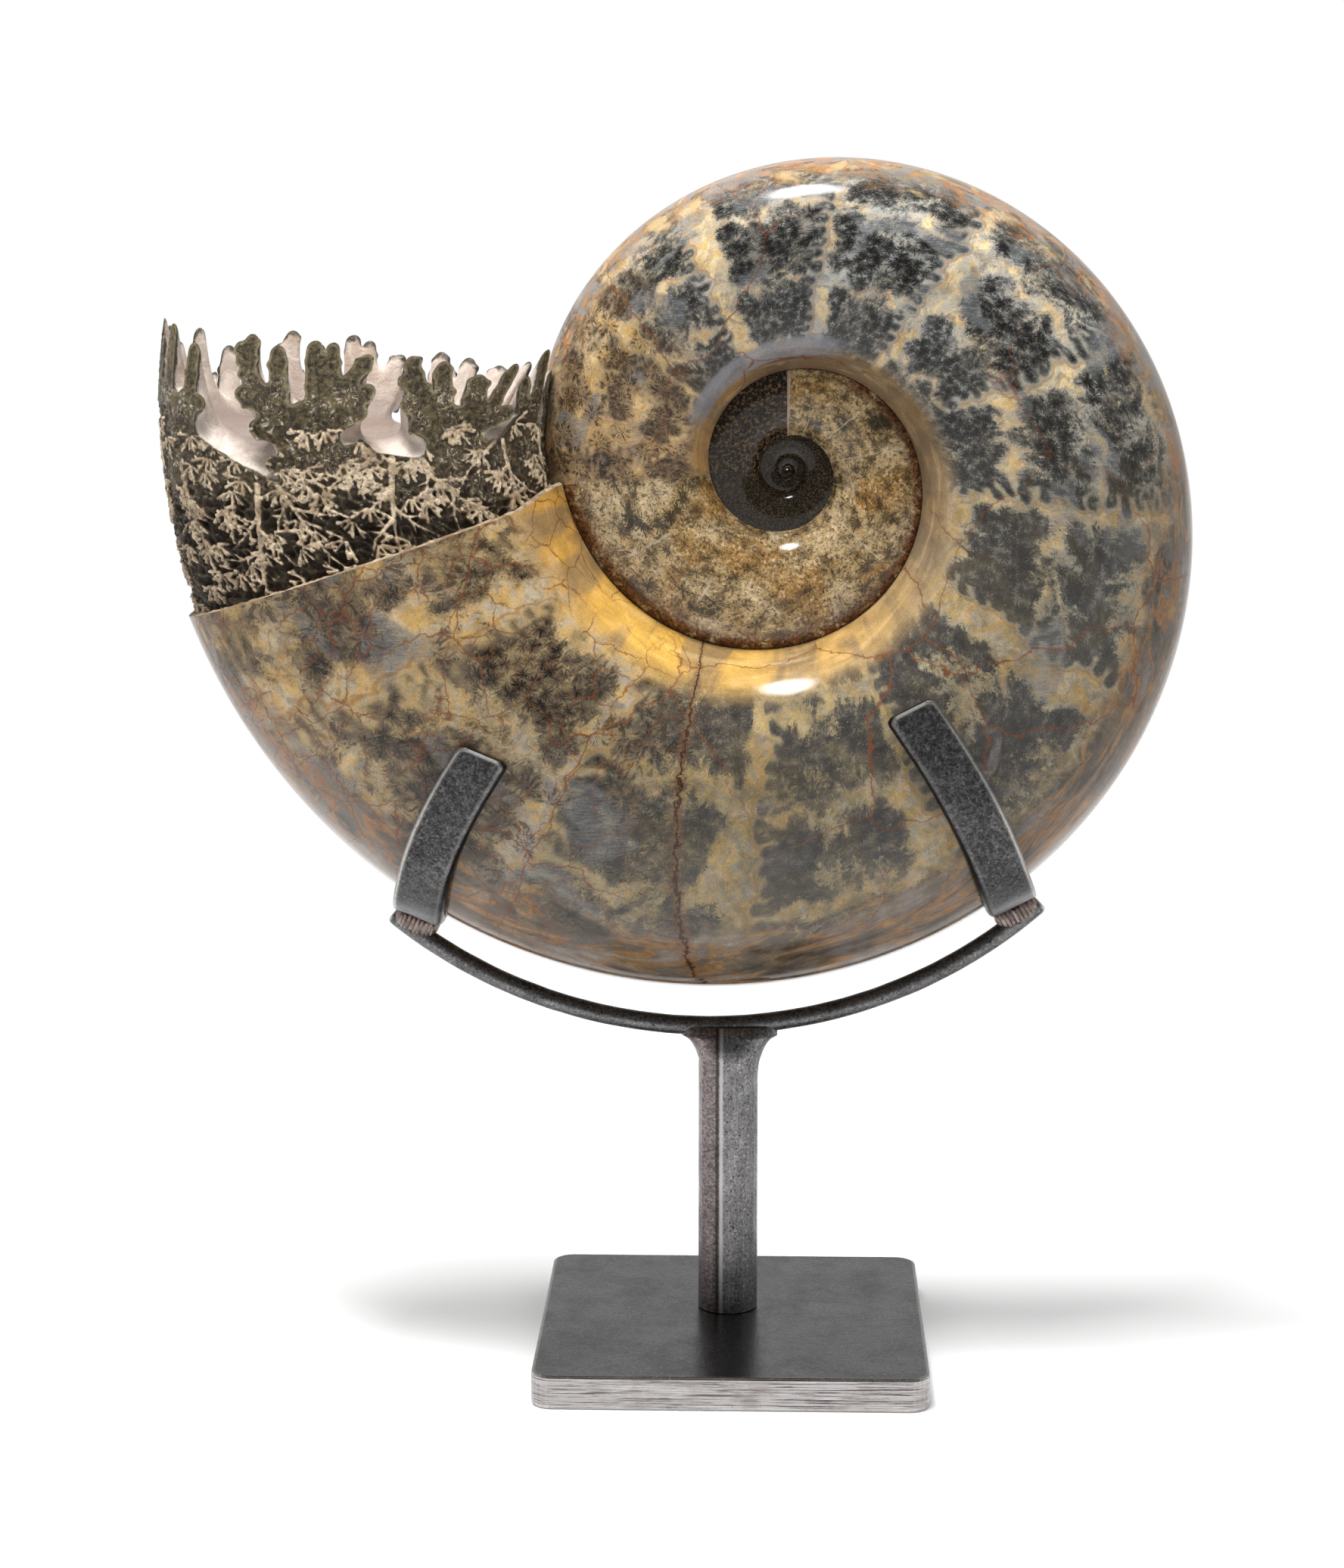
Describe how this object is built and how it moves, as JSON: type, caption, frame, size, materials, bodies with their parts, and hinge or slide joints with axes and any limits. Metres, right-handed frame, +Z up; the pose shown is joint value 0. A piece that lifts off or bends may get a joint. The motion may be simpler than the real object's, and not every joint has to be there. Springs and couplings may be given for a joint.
{
  "type": "polished ammonite fossil on a welded stand",
  "caption": "Polished coiled ammonite with an open, frilled chamber wall at its end, resting in two steel straps on a rod, post and square plate.",
  "frame": {"origin": "centre of the base plate's underside", "axes": "+X to the right seen from the front, where the coil bulges and away from its open end; +Y to the back; +Z up along the post"},
  "size_m": [0.3331, 0.127, 0.3914],
  "materials": {
    "fossil": "polished stone: cream and amber ground with dark fern-like sutures, dark granular chamber wall with pink nacre inside",
    "plate_steel": "dark satin steel with worn bright edges",
    "post_steel": "dark ground steel bar, pinkish weld at the top",
    "rod_steel": "dark steel rod with welds at its ends",
    "strap_steel": "dark steel strap with ground bright edges"
  },
  "bodies": {
    "root": {"ammonite": "fossil", "base_plate": "plate_steel", "post": "post_steel", "cross_bar": "rod_steel", "cradle_left": "strap_steel", "cradle_right": "strap_steel"}
  },
  "joints": []
}
